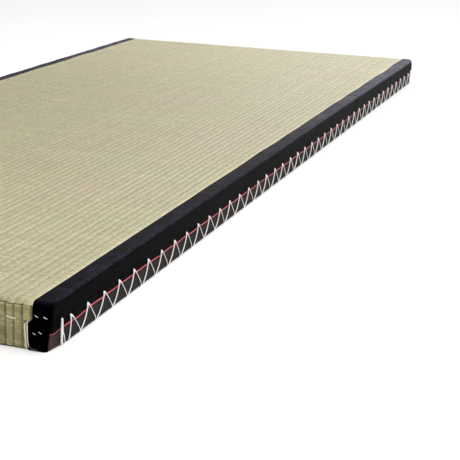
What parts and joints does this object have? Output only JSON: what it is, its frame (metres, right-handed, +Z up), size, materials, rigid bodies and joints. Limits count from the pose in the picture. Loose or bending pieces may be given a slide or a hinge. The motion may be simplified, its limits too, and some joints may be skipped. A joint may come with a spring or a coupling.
{
  "type": "tatami mat",
  "caption": "Flat tatami mat: straw board in a ribbed woven rush cover, black cloth borders folded over the ends, red edge cord and white side lacing.",
  "frame": {"origin": "middle of the underside, on the surface the mat lies on", "axes": "+X across the mat to its right border, +Y along its length, +Z up"},
  "size_m": [0.7998, 2, 0.06],
  "materials": {
    "woven_rush": "woven dried rush, matte to satin, pale green-beige",
    "black_cloth": "tightly woven satin-faced cloth, black",
    "backing_cloth": "coarse open gauze, dark grey-brown",
    "red_cord": "twisted cotton cord, red",
    "white_string": "twisted string, off-white"
  },
  "bodies": {
    "root": {"rush_mat": "woven_rush", "backing_sheet": "backing_cloth", "border_right": "black_cloth", "border_left": "black_cloth", "red_cord_right": "red_cord", "red_cord_left": "red_cord", "side_lacing_right": "white_string", "side_lacing_left": "white_string", "end_stitching_near": "white_string", "end_stitching_far": "white_string"}
  },
  "joints": []
}
